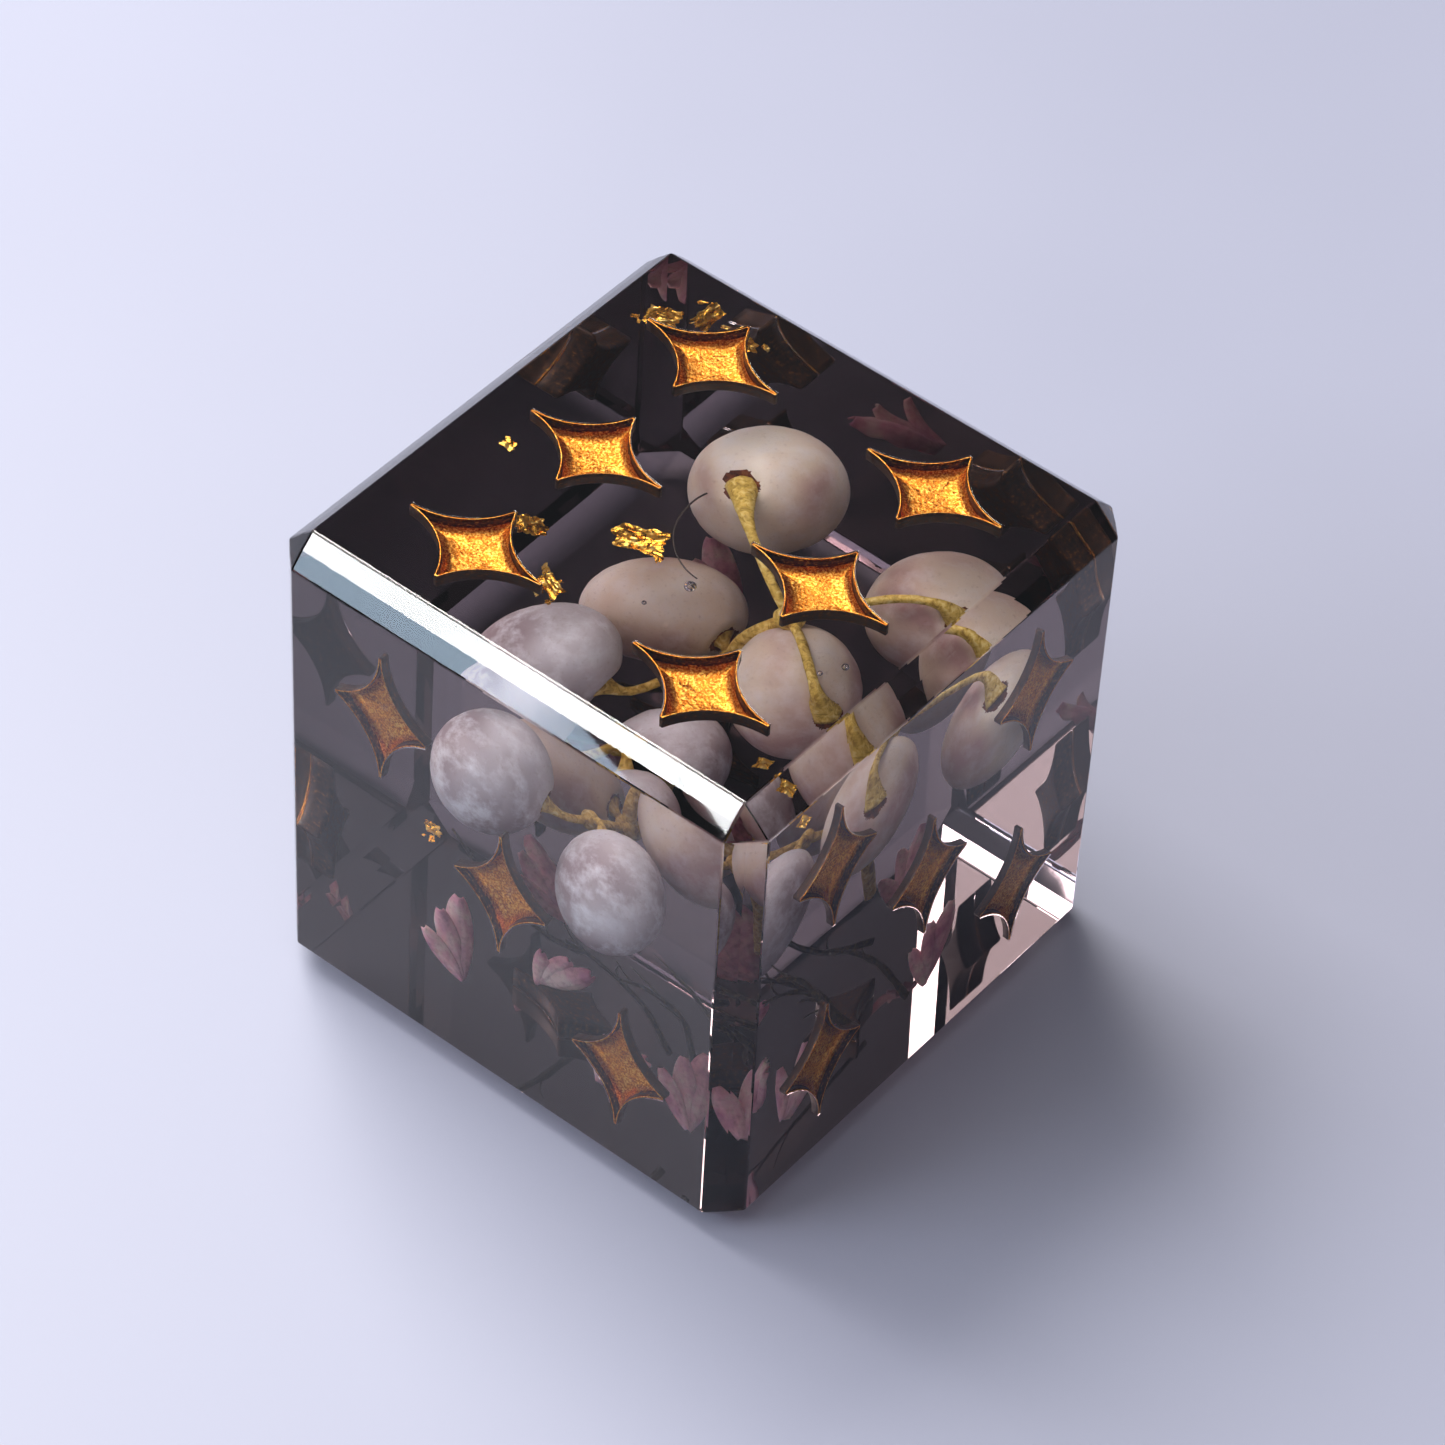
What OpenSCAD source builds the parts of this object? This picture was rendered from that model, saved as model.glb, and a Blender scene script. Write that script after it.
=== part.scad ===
// Six-sided die cast in smoky clear resin, with painted sparkle-shaped pips.
// A sprig of dried berries, gold leaf, petals and twigs are sealed inside it.
// Origin: middle of the face it rests on (the "one"). +Z is the "six", -Y the "three", +X the "five".

/* [Body] */
// Distance between opposite faces of the die
die_size = 16; // [13:0.5:20]
// Width that the flat on each edge takes from a face
edge_flat = 0.82; // [0.4:0.02:1.4]

/* [Pips] */
// Tip-to-tip length of a pip
pip_length = 4.4; // [3:0.1:5.3]
// Tip-to-tip width of a pip
pip_width = 3.1; // [2.2:0.1:3.7]
// How far the middle of each hollow side bends in from a straight line between two tips
pip_hollow = 0.4; // [0.2:0.05:0.55]
// Depth of the recess of a pip
pip_depth = 0.8; // [0.4:0.05:0.95]
// Thickness of the paint that lines a recess
paint_coat = 0.08; // [0.05:0.01:0.12]
// From the middle of a face to a pip, along the length of the pip
pip_spread_along = 3.75; // [3:0.05:4.2]
// From the middle of a face to a pip, across the length of the pip
pip_spread_across = 4.15; // [3.2:0.05:4.6]
// Pitch of the rows of three on the six
six_row_pitch = 4.75; // [4.5:0.05:5]

/* [Sprig] */
// Girth of the roundest berry
berry_girth = 4.4; // [3:0.1:5.3]
// Thickness of the main stem
stem_d = 0.5; // [0.3:0.02:0.62]
// Thickness of the stalk that carries a berry
stalk_d = 0.3; // [0.2:0.02:0.38]
// Width of the flare where a stalk meets its berry
flare_d = 0.85; // [0.6:0.05:1.05]

/* [Scraps] */
// Thickness of a petal
petal_skin = 0.1; // [0.06:0.01:0.14]
// Length of the longest petal
petal_length = 2.9; // [2.2:0.1:3.3]
// Thickness of a twig at its foot
twig_d = 0.24; // [0.14:0.02:0.3]
// Width of the widest flake of gold leaf
flake_width = 1.3; // [0.8:0.1:1.6]
// Thickness of a crumpled flake of gold leaf
flake_skin = 0.06; // [0.04:0.01:0.1]
// Thickness of the loose fibre
fibre_d = 0.08; // [0.06:0.01:0.12]

/* [Clearances] */
// Resin left between any two things sealed in it
sealed_gap = 0.1; // [0.05:0.01:0.2]
// Bare rim left between a pip and the edge flat
pip_rim = 0.35; // [0.2:0.05:0.6]

/* [Hidden] */
$fn = 64;
half = die_size / 2;
face_half = half - edge_flat;
beyond = 2 * die_size;                       // longer than anything in the die
tip_half = 0.04;                             // half the width of a pip's blunted tip
knuckle_swell = 1.4;                         // a knuckle's width over the thickness of its rods
tuck = 0.36;                                 // a rod's gap from a knuckle's middle, over its thickness
burl_d = max(3 * stalk_d, 1.8 * stem_d);     // the swelling where stalks branch off
burl_gap = 0.31 * burl_d;                    // a rod's gap from a burl's middle
stalk_bite = 0.25;                           // how deep a stalk's flare sits in its berry

// Pips stay on the flat part of a face.
pip_along = min(pip_spread_along, face_half - pip_length / 2 - pip_rim);
pip_across = min(pip_spread_across, face_half - pip_width / 2 - pip_rim);
pip_rows = min(six_row_pitch, face_half - pip_width / 2 - pip_rim);

// The hollow side of a pip is an arc through the corners of two blunted tips.
tip_across = [pip_width / 2, tip_half];
tip_along = [tip_half, pip_length / 2];
chord = norm(tip_across - tip_along);
hollow_r = (pow(chord / 2, 2) + pow(pip_hollow, 2)) / (2 * pip_hollow);
outward = [tip_along[1] - tip_across[1], tip_across[0] - tip_along[0]] / chord;
hollow_centre = (tip_across + tip_along) / 2 + outward * (hollow_r - pip_hollow);

// A face: name, turn from the +Z face, and its pips as [columns across, rows along].
corners = [[-1, 1], [1, 1], [-1, -1], [1, -1]];
FACES = [
    ["one", [180, 0, -90], [[0, 0]]],
    ["two", [90, 0, 270], [[-1, 1], [1, -1]]],
    ["three", [90, 0, 0], [[-1, 1], [0, 0], [1, -1]]],
    ["four", [90, 0, 180], corners],
    ["five", [90, 0, 90], concat(corners, [[0, 0]])],
    ["six", [0, 0, -90], [for (row = [-1, 1], column = [-1:1]) [column, row]]],
];
letters = "abcdef";

// A berry: name, place as a share of half the die, girth as a share of the largest,
// length over girth, and the direction of its long axis.
BERRIES = [
    ["a", [-0.13, 0.50, 0.375], 1.00, 1.02, [0.3, 0.5, 0.8]],
    ["b", [0.63, 0.46, 0.30], 0.93, 1.05, [0.1, 0.8, 0.6]],
    ["c", [0.50, -0.14, 0.325], 0.82, 1.22, [-0.52, 0.72, 0.46]],
    ["d", [-0.10, -0.075, 0.175], 0.80, 1.30, [0.8, 0.6, 0]],
    ["e", [-0.20, -0.565, 0.30], 0.80, 1.38, [0.42, 0.55, 0.72]],
    ["f", [0.32, -0.585, 0.10], 0.77, 1.34, [0.25, 0.50, 0.83]],
];

// Where the sprig branches and ends, as shares of half the die.
crown = [0.345, 0.02, 0.525];
fork = [0.22, -0.10, 0.17];
twin = [0.13, -0.30, 0.21];
foot = [0.16, 0.06, -0.34];

// A burl where stalks branch off: place, and the turn that keeps the poles and the seam of
// its ball clear of the rods, so that exact CAD reads it back whole.
BURLS = [
    [crown, [0, -90, -80]],
    [fork, [90, 0, 15]],
    [twin, [0, 0, 160]],
];

// Routes of the sprig's limbs and of the stalks. The last point of a stalk's route only says
// from which side it enters its berry, so that it still does when either changes size.
UPPER_LIMB = [crown, [0.235, -0.07, 0.34], fork];
LOWER_LIMB = [fork, [0.20, 0.0, -0.10], foot];
STALKS = [
    [crown, [0.245, 0.065, 0.575], [0.09, 0.16, 0.61], [-0.02, 0.24, 0.635], [-0.14, 0.35, 0.60]],
    [crown, [0.54, 0.27, 0.575], [0.68, 0.36, 0.59], [0.77, 0.39, 0.50]],
    [crown, [0.46, -0.06, 0.565], [0.62, -0.19, 0.565], [0.69, -0.20, 0.44]],
    [fork, [0.16, -0.055, 0.19]],
    [twin, [0.08, -0.46, 0.25], [0.0, -0.515, 0.285]],
    [twin, [0.19, -0.36, 0.26], [0.235, -0.42, 0.22]],
];

// A petal: name, place, turn, and its length as a share of the longest.
PETALS = [
    ["a", [0.66, -0.54, -0.60], [58, 0, 25], 1.0],
    ["b", [0.38, -0.62, -0.66], [72, 20, -20], 0.9],
    ["c", [0.10, -0.60, -0.47], [105, 35, 10], 0.8],
    ["d", [-0.34, -0.62, -0.58], [75, -15, 30], 1.0],
    ["e", [0.66, 0.22, -0.60], [70, 10, 80], 0.9],
    ["f", [-0.30, 0.45, -0.62], [40, -20, 60], 1.0],
];

// Routes of the loose twigs, as shares of half the die.
TWIGS = [
    ["a", [[0.60, -0.26, -0.66], [0.56, -0.34, -0.42], [0.44, -0.46, -0.32], [0.38, -0.60, -0.27]]],
    ["b", [[0.48, -0.22, -0.70], [0.38, -0.30, -0.50], [0.22, -0.42, -0.36], [0.12, -0.52, -0.30]]],
    ["c", [[0.78, -0.28, -0.56], [0.76, -0.42, -0.34], [0.66, -0.52, -0.16], [0.62, -0.64, -0.06]]],
    ["d", [[0.80, 0.02, -0.66], [0.74, -0.12, -0.40], [0.76, -0.30, -0.18], [0.80, -0.44, -0.06]]],
    ["e", [[-0.06, 0.20, -0.74], [-0.14, -0.04, -0.62], [-0.30, -0.22, -0.44], [-0.44, -0.34, -0.22]]],
];

// A flake of gold leaf: name, place (heights are set against the pips), turn, and its width
// as a share of the widest.
ceiling = (half - pip_depth - sealed_gap) / half;
FLAKES = [
    ["a", [-0.80, 0.74, ceiling - 0.11], [35, 20, 30], 0.62],
    ["b", [-0.67, 0.83, ceiling - 0.09], [50, -20, 80], 0.70],
    ["c", [-0.52, 0.82, ceiling - 0.13], [20, 40, 10], 0.60],
    ["d", [-0.18, -0.12, ceiling - 0.14], [12, -8, 20], 1.00],
    ["e", [-0.46, -0.34, ceiling - 0.06], [15, 25, 50], 0.55],
    ["f", [-0.25, -0.47, ceiling - 0.13], [40, 10, -20], 0.60],
    ["g", [-0.76, -0.09, ceiling - 0.08], [10, 15, 0], 0.35],
    ["h", [0.74, -0.60, ceiling - 0.20], [60, 30, 40], 0.40],
    ["i", [-0.36, -0.80, 0.0], [80, 0, 20], 0.45],
];

function dims_of(i) =
    let (girth = berry_girth * berry_scale * BERRIES[i][2])
    [girth / 2, girth / 2 * BERRIES[i][3]];

// How far a berry of unit scale reaches in the direction of a unit vector.
function reach(i, direction) =
    let (
        across = berry_girth * BERRIES[i][2] / 2,
        along = across * BERRIES[i][3],
        slant = pow(direction * BERRIES[i][4] / norm(BERRIES[i][4]), 2)
    )
    sqrt(across * across * (1 - slant) + along * along * slant);

// The scale at which two berries would come within the sealed gap of each other.
function pair_limit(i, j) =
    let (between = (BERRIES[j][1] - BERRIES[i][1]) * half, apart = norm(between))
    (apart - sealed_gap) / (reach(i, between / apart) + reach(j, between / apart));

// The scale at which a berry would come within the sealed gap of a pip's floor.
function wall_limit(i) =
    min([for (axis = [[1, 0, 0], [0, 1, 0], [0, 0, 1]])
        (half - pip_depth - sealed_gap - abs(BERRIES[i][1] * axis) * half) / reach(i, axis)]);

last_berry = len(BERRIES) - 1;
pair_limits = [for (i = [0:last_berry - 1], j = [i + 1:last_berry]) pair_limit(i, j)];
wall_limits = [for (i = [0:last_berry]) wall_limit(i)];
berry_scale = min(1, min(pair_limits), min(wall_limits));

// Where a stalk ends: under the skin of its berry, on the side that its route comes from.
function landing(i) =
    let (
        route = STALKS[i],
        out = route[len(route) - 1] - BERRIES[i][1],
        direction = out / norm(out)
    )
    BERRIES[i][1] + direction * (reach(i, direction) * berry_scale - stalk_bite) / half;

function stalk_route(i) =
    concat([for (k = [0:len(STALKS[i]) - 2]) STALKS[i][k]], [landing(i)]);

function pip_name(face, i) =
    len(face[2]) == 1 ? str("pip_", face[0]) : str("pip_", face[0], "_", letters[i]);
function names(prefix, list) = [for (item = list) str(prefix, item[0])];

// Shapes

// The pip's outline, shrunk by a margin on every side.
module pip_outline(margin = 0) {
    difference() {
        square([pip_width - 2 * margin, pip_length - 2 * margin], center = true);
        for (x = [-1, 1], y = [-1, 1])
            translate([x * hollow_centre[0], y * hollow_centre[1]])
                circle(hollow_r + margin);
    }
}

// Moves a drawing from the middle of the +Z face to one pip's place on any face.
module at_pip(face, spot) {
    pitch = face[0] == "six" ? pip_rows : pip_across;
    translate([0, 0, half])
        rotate(face[1])
            translate([spot[0] * pitch, spot[1] * pip_along, half])
                children();
}

// Moves a drawing to a place given as a share of half the die from its middle.
module at_share(place) {
    translate([0, 0, half] + place * half)
        children();
}

// Turns the +Z axis of a drawing to a direction.
module aim(direction) {
    rotate([0, acos(direction[2] / norm(direction)), atan2(direction[1], direction[0])])
        children();
}

// The cube with a flat on each edge and a small triangle on each corner.
module faceted_cube() {
    edge_span = sqrt(2) * (die_size - edge_flat);
    corner_span = 2 * (3 * half - 2 * edge_flat) / sqrt(3);
    translate([0, 0, half])
        intersection() {
            cube(die_size, center = true);
            rotate([45, 0, 0]) cube([beyond, edge_span, edge_span], center = true);
            rotate([0, 45, 0]) cube([edge_span, beyond, edge_span], center = true);
            rotate([0, 0, 45]) cube([edge_span, edge_span, beyond], center = true);
            for (x = [-1, 1], y = [-1, 1])
                aim([x, y, 1]) cube([beyond, beyond, corner_span], center = true);
        }
}

module pip_recess() {
    translate([0, 0, -pip_depth])
        linear_extrude(pip_depth + 1)
            pip_outline();
}

// An oval ball, standing on Z: half its girth, and half its length.
module oval(across, along) {
    scale([1, 1, along / across])
        sphere(across);
}

module berry_shape(i) {
    size = dims_of(i);
    at_share(BERRIES[i][1])
        aim(BERRIES[i][4])
            oval(size[0], size[1]);
}

module berry_shapes() {
    for (i = [0:last_berry]) berry_shape(i);
}

// A tapering rod between two points, in shares of half the die, that stops short of each.
module rod(from, to, start_d, end_d, start_gap = 0, end_gap = 0) {
    at_share(from)
        aim(to - from)
            translate([0, 0, start_gap])
                cylinder(h = norm(to - from) * half - start_gap - end_gap, d1 = start_d, d2 = end_d);
}

// The ball at a bend, with its poles and its seam turned away from the two rods it joins.
module knuckle(before, place, after, d) {
    toward = (before - place) / norm(before - place);
    away = (after - place) / norm(after - place);
    pole = cross(toward, away) / norm(cross(toward, away));
    seam = -(toward + away) / norm(toward + away);
    third = cross(pole, seam);
    at_share(place)
        multmatrix([for (row = [0:2]) [seam[row], third[row], pole[row], 0]])
            sphere(d = d * knuckle_swell);
}

// A route of rods with a knuckle at each bend. Rods end inside the knuckles, clear of each other.
module branch(route, start_d, end_d, start_gap = 0, end_gap = 0) {
    last = len(route) - 1;
    function d_at(i) = start_d + (end_d - start_d) * i / last;
    function gap_at(i) = i == 0 ? start_gap : i == last ? end_gap : tuck * d_at(i);
    for (i = [0:last - 1])
        rod(route[i], route[i + 1], d_at(i), d_at(i + 1), gap_at(i), gap_at(i + 1));
    for (i = [1:1:last - 1])
        knuckle(route[i - 1], route[i], route[i + 1], d_at(i));
}

// A stalk from a burl, whose last stretch flares out to meet its berry.
module stalk(route) {
    last = len(route) - 1;
    neck_gap = tuck * stalk_d;
    if (last == 1)
        rod(route[0], route[1], stalk_d, flare_d, burl_gap);
    else {
        branch([for (i = [0:last - 1]) route[i]], stalk_d, stalk_d, burl_gap, neck_gap);
        knuckle(route[last - 2], route[last - 1], route[last], stalk_d);
        rod(route[last - 1], route[last], stalk_d, flare_d, neck_gap);
    }
}

module sprig_shape() {
    for (burl = BURLS)
        at_share(burl[0]) rotate(burl[1]) sphere(d = burl_d);
    branch(UPPER_LIMB, stem_d * 0.8, stem_d * 0.9, burl_gap, burl_gap);
    branch(LOWER_LIMB, stem_d * 0.9, stem_d, burl_gap);
    rod(fork, twin, stalk_d, stalk_d, burl_gap, burl_gap);
    for (i = [0:last_berry]) stalk(stalk_route(i));
}

// A pointed oval cut from a thin ball, with the middle of its back at the origin.
module petal_shape(petal) {
    long = petal_length * petal[3];
    ball_r = long * 0.9;
    arc_r = long * 0.62;
    wide = long * 0.72;
    at_share(petal[1])
        rotate(petal[2])
            translate([0, 0, -ball_r])
                intersection() {
                    difference() {
                        sphere(ball_r + petal_skin / 2);
                        sphere(ball_r - petal_skin / 2);
                    }
                    linear_extrude(2 * ball_r)
                        intersection_for (side = [-1, 1])
                            translate([side * (arc_r - wide / 2), 0])
                                circle(arc_r);
                }
}

module twig_shape(twig) {
    branch(twig[1], twig_d, twig_d * 0.6);
}

// A torn flake with five uneven corners.
module flake_shape(flake) {
    wide = flake_width * flake[3];
    at_share(flake[1])
        rotate(flake[2])
            linear_extrude(flake_skin, center = true)
                polygon(wide / 2 * [[-1, -0.3], [-0.2, -0.7], [0.9, -0.5], [1, 0.3], [-0.3, 0.6]]);
}

// A quarter turn of thin fibre lying under the top face.
module fibre_shape() {
    curl_r = 0.26 * half;
    at_share([0.12, 0.10, ceiling - 0.09])
        rotate([0, 0, 165])
            rotate_extrude(angle = 100)
                translate([curl_r, 0])
                    circle(d = fibre_d);
}

// Sub-parts

module resin_body() {
    color([0.20, 0.17, 0.19, 0.55])
        difference() {
            faceted_cube();
            for (face = FACES, spot = face[2])
                at_pip(face, spot) pip_recess();
            berry_shapes();
            sprig_shape();
            for (petal = PETALS) petal_shape(petal);
            for (twig = TWIGS) twig_shape(twig);
            for (flake = FLAKES) flake_shape(flake);
            fibre_shape();
        }
}

// The coat of paint in one recess: a floor and a skin up every side.
module pip_paint(face, spot) {
    color([0.85, 0.58, 0.14])
        at_pip(face, spot)
            translate([0, 0, -pip_depth])
                difference() {
                    linear_extrude(pip_depth) pip_outline();
                    translate([0, 0, paint_coat])
                        linear_extrude(pip_depth) pip_outline(paint_coat);
                }
}

module berry(i) {
    color([0.72, 0.68, 0.66]) berry_shape(i);
}

module sprig_stem() {
    color([0.66, 0.55, 0.22])
        difference() {
            sprig_shape();
            berry_shapes();
        }
}

module petal(item) {
    color([0.66, 0.48, 0.56]) petal_shape(item);
}

module twig(item) {
    color([0.20, 0.17, 0.10]) twig_shape(item);
}

module gold_flake(item) {
    color([0.90, 0.66, 0.18]) flake_shape(item);
}

module fibre() {
    color([0.15, 0.13, 0.12]) fibre_shape();
}

resin_body();
for (face = FACES, i = [0:len(face[2]) - 1])
    pip_paint(face, face[2][i]);
for (i = [0:last_berry])
    berry(i);
sprig_stem();
for (item = PETALS)
    petal(item);
for (item = TWIGS)
    twig(item);
for (item = FLAKES)
    gold_flake(item);
fibre();
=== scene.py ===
import math
import random

import bmesh
import bpy
from mathutils import Euler, Matrix, Vector, noise
from mathutils.geometry import delaunay_2d_cdt


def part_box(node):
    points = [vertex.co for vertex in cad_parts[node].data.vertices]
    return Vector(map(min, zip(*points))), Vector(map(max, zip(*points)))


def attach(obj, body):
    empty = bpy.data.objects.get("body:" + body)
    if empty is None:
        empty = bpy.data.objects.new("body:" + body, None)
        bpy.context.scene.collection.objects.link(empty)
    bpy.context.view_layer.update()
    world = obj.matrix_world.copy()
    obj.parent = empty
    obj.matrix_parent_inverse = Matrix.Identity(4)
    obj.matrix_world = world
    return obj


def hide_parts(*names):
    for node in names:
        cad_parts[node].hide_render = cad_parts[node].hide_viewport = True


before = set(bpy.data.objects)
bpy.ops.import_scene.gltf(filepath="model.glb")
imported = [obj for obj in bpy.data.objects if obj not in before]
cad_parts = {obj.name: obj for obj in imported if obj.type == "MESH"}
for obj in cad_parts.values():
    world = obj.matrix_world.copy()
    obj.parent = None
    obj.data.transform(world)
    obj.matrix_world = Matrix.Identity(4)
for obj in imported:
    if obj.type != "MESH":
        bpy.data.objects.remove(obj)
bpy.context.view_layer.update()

# The die's own measures, from the CAD body
LOW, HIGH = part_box("resin_body")
CENTRE = (LOW + HIGH) / 2
HALF = (HIGH.x - LOW.x) / 2
MM = HALF / 8
EDGE_FLAT = 0.82 * MM
EDGE_SOFTNESS = 0.045 * MM
EDGE_CROWN = 0.014 * MM
SHARP_ANGLE = math.radians(15)
FLAT_ANGLE = 0.002

# Pips: how each face is turned from the top one, then their outline and their recess
FACE_TURNS = {
    "one": (180, 0, -90),
    "two": (90, 0, 270),
    "three": (90, 0, 0),
    "four": (90, 0, 180),
    "five": (90, 0, 90),
    "six": (0, 0, -90),
}
PIP_HOLLOW = 0.4 * MM
PIP_TIP = 0.04 * MM
PIP_LIP = 0.03 * MM
PIP_FILLET = 0.16 * MM
ARC_STEPS = 12
LIP_STEPS = 3
FILLET_STEPS = 8
INSIDE_WITH_HOLES = 2
LEAST_TIP = 0.006 * MM

# Paint: its coat, the curve where it climbs the walls, how far it sinks into the resin,
# how far its middle is dished, and the rings of its floor as shares of the way out
PAINT_COAT = 0.035 * MM
PAINT_MENISCUS = 0.34 * MM
PAINT_GRIP = 0.012 * MM
PAINT_DISH = 0.03 * MM
PAINT_RINGS = (0.86, 0.7, 0.54, 0.38, 0.22, 0.1)

# Berries: long axis, length over girth
BERRIES = {
    "a": ((0.3, 0.5, 0.8), 1.02),
    "b": ((0.1, 0.8, 0.6), 1.05),
    "c": ((-0.52, 0.72, 0.46), 1.22),
    "d": ((0.8, 0.6, 0.0), 1.30),
    "e": ((0.42, 0.55, 0.72), 1.38),
    "f": ((0.25, 0.50, 0.83), 1.34),
}

FROSTED = "ef"
# Depth and reach of the pit at a berry's stalk, and its raised lip, as shares of the berry
PIT_DEPTH = 0.10
PIT_REACH = 0.20
PIT_LIP = 0.014
BERRY_INSET = 0.014
STALK_BITE = 0.3 * MM

# Routes of the sprig, as shares of half the die from its middle
CROWN = (0.345, 0.02, 0.525)
FORK = (0.22, -0.10, 0.17)
TWIN = (0.13, -0.30, 0.21)
FOOT = (0.16, 0.06, -0.34)
STEM_D = 0.5 * MM
STALK_D = 0.3 * MM
FLARE_D = 0.95 * MM
LIMBS = [
    ([CROWN, (0.235, -0.07, 0.34), FORK, (0.20, 0.0, -0.10), FOOT], 0.8, 1.0),
    ([FORK, (0.17, -0.2, 0.18), TWIN], 0.62, 0.62),
]
STALKS = {
    "a": [CROWN, (0.245, 0.065, 0.575), (0.09, 0.16, 0.61), (-0.02, 0.24, 0.635), (-0.14, 0.35, 0.60)],
    "b": [CROWN, (0.54, 0.27, 0.575), (0.68, 0.36, 0.59), (0.77, 0.39, 0.50)],
    "c": [CROWN, (0.46, -0.06, 0.565), (0.62, -0.19, 0.565), (0.69, -0.20, 0.44)],
    "d": [FORK, (0.16, -0.055, 0.19)],
    "e": [TWIN, (0.08, -0.46, 0.25), (0.0, -0.515, 0.285)],
    "f": [TWIN, (0.19, -0.36, 0.26), (0.235, -0.42, 0.22)],
}
# Swellings of the stem: place, half the width in millimetres
BURLS = [(CROWN, 0.42), (FORK, 0.40), (TWIN, 0.32)]

# Petals: turn, share of the longest
PETAL_LENGTH = 2.9 * MM
PETAL_SKIN = 0.06 * MM
PETALS = {
    "a": ((58, 0, 25), 1.0),
    "b": ((72, 20, -20), 0.9),
    "c": ((105, 35, 10), 0.8),
    "d": ((75, -15, 30), 1.0),
    "e": ((70, 10, 80), 0.9),
    "f": ((40, -20, 60), 1.0),
}
# The lean in degrees of each petal in a fan, how much shorter each is than the last,
# and how far it lies above it
PETAL_LEANS = (-15, 2, 27)
PETAL_SHRINK = 0.17
PETAL_LIFT = 0.09 * MM

TWIG_D = 0.24 * MM
TWIG_SHOOTS = (0.3, 0.5, 0.68, 0.84)
TWIGS = {
    "a": [(0.60, -0.26, -0.66), (0.56, -0.34, -0.42), (0.44, -0.46, -0.32), (0.38, -0.60, -0.27)],
    "b": [(0.48, -0.22, -0.70), (0.38, -0.30, -0.50), (0.22, -0.42, -0.36), (0.12, -0.52, -0.30)],
    "c": [(0.78, -0.28, -0.56), (0.76, -0.42, -0.34), (0.66, -0.52, -0.16), (0.62, -0.64, -0.06)],
    "d": [(0.80, 0.02, -0.66), (0.74, -0.12, -0.40), (0.76, -0.30, -0.18), (0.80, -0.44, -0.06)],
    "e": [(-0.06, 0.20, -0.74), (-0.14, -0.04, -0.62), (-0.30, -0.22, -0.44), (-0.44, -0.34, -0.22)],
}

# Gold leaf: turn, width, number of extra shards beside the flake, how far they scatter
LEAF_SKIN = 0.018 * MM
FLAKES = {
    "a": ((35, 20, 30), 1.0, 4, 0.6),
    "b": ((50, -20, 80), 1.1, 5, 0.6),
    "c": ((20, 40, 10), 1.0, 5, 0.6),
    "d": ((12, -8, 20), 1.5, 1, 0.8),
    "e": ((15, 25, 50), 0.95, 3, 0.5),
    "f": ((40, 10, -20), 0.9, 6, 0.6),
    "g": ((10, 15, 0), 0.45, 0, 0.3),
    "h": ((60, 30, 40), 0.5, 1, 0.3),
    "i": ((80, 0, 20), 0.55, 4, 0.6),
}

# The fibre bends round a pivot, from one angle on through a turn, in degrees.
FIBRE_PIVOT = (0.12, 0.10, 0.0)
FIBRE_BEND = 0.26 * HALF
FIBRE_START, FIBRE_TURN = 165, 100
FIBRE_RADIUS = 0.03 * MM

# Air bubbles in the resin: place as shares of half the die, width in millimetres
BUBBLES = [
    ((0.08, -0.17, 0.73), 0.34),
    ((0.68, -0.12, 0.73), 0.22),
    ((0.64, -0.20, 0.74), 0.16),
    ((-0.02, -0.28, 0.62), 0.14),
]

# The camera, as fitted to the die: angles in degrees, distances in millimetres from its middle
CAMERA_AZIMUTH, CAMERA_ELEVATION, CAMERA_ROLL = 37.13, 46.11, 3.29
CAMERA_DISTANCE = 159.5
CAMERA_ASIDE = (0.73, 0.19)
CAMERA_LENS = 148.55
SENSOR_WIDTH = 36

# Soft boxes: direction from the die, distance, width and height in halves of the die, watts
# for a 16 mm die, colour
LIGHTS = {
    "key": ((-0.80, 0.16, 1.05), 34, 22, 22, 1.9, (1.0, 0.97, 0.92)),
    "ceiling": ((-0.35, -0.35, 1.0), 34, 40, 40, 1.25, (1.0, 0.98, 0.95)),
    "window": ((-0.51, -0.625, 0.575), 30, 18, 3.4, 0.27, (0.95, 0.98, 1.0)),
    "sky": ((-0.49, -0.75, 0.41), 36, 20, 8, 0.32, (0.62, 0.80, 1.0)),
    "fill": ((0.9, -0.5, 1.1), 40, 22, 22, 0.10, (1.0, 0.96, 0.95)),
}
WORLD_COLOUR = (0.80, 0.84, 0.95, 1)
WORLD_STRENGTH = 0.22
FLOOR_REACH = 60 * HALF
FLOOR_GAP = 0.02 * MM


# Small helpers

def at(place):
    """The point at a place given as shares of half the die from its middle."""
    return CENTRE + Vector(place) * HALF


def middle(node):
    low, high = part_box(node)
    return (low + high) / 2


def turned(degrees):
    return Euler([math.radians(d) for d in degrees], "XYZ").to_matrix()


def wobble(point, period, seed=0.0):
    """Smooth noise from -1 to 1 that changes over a period in metres."""
    return noise.noise(point / period + Vector((seed, seed * 0.7, -seed)))


def join_rings(bm, a, b):
    """Joins two rings of as many vertices with a band of faces."""
    for i in range(len(a)):
        j = (i + 1) % len(a)
        bm.faces.new((a[i], a[j], b[j], b[i]))


def add_rings(bm, rings):
    """Joins rings of points, each with the same count, into a tube and returns its vertices."""
    made = [[bm.verts.new(p) for p in ring] for ring in rings]
    for a, b in zip(made, made[1:]):
        join_rings(bm, a, b)
    return made


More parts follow.
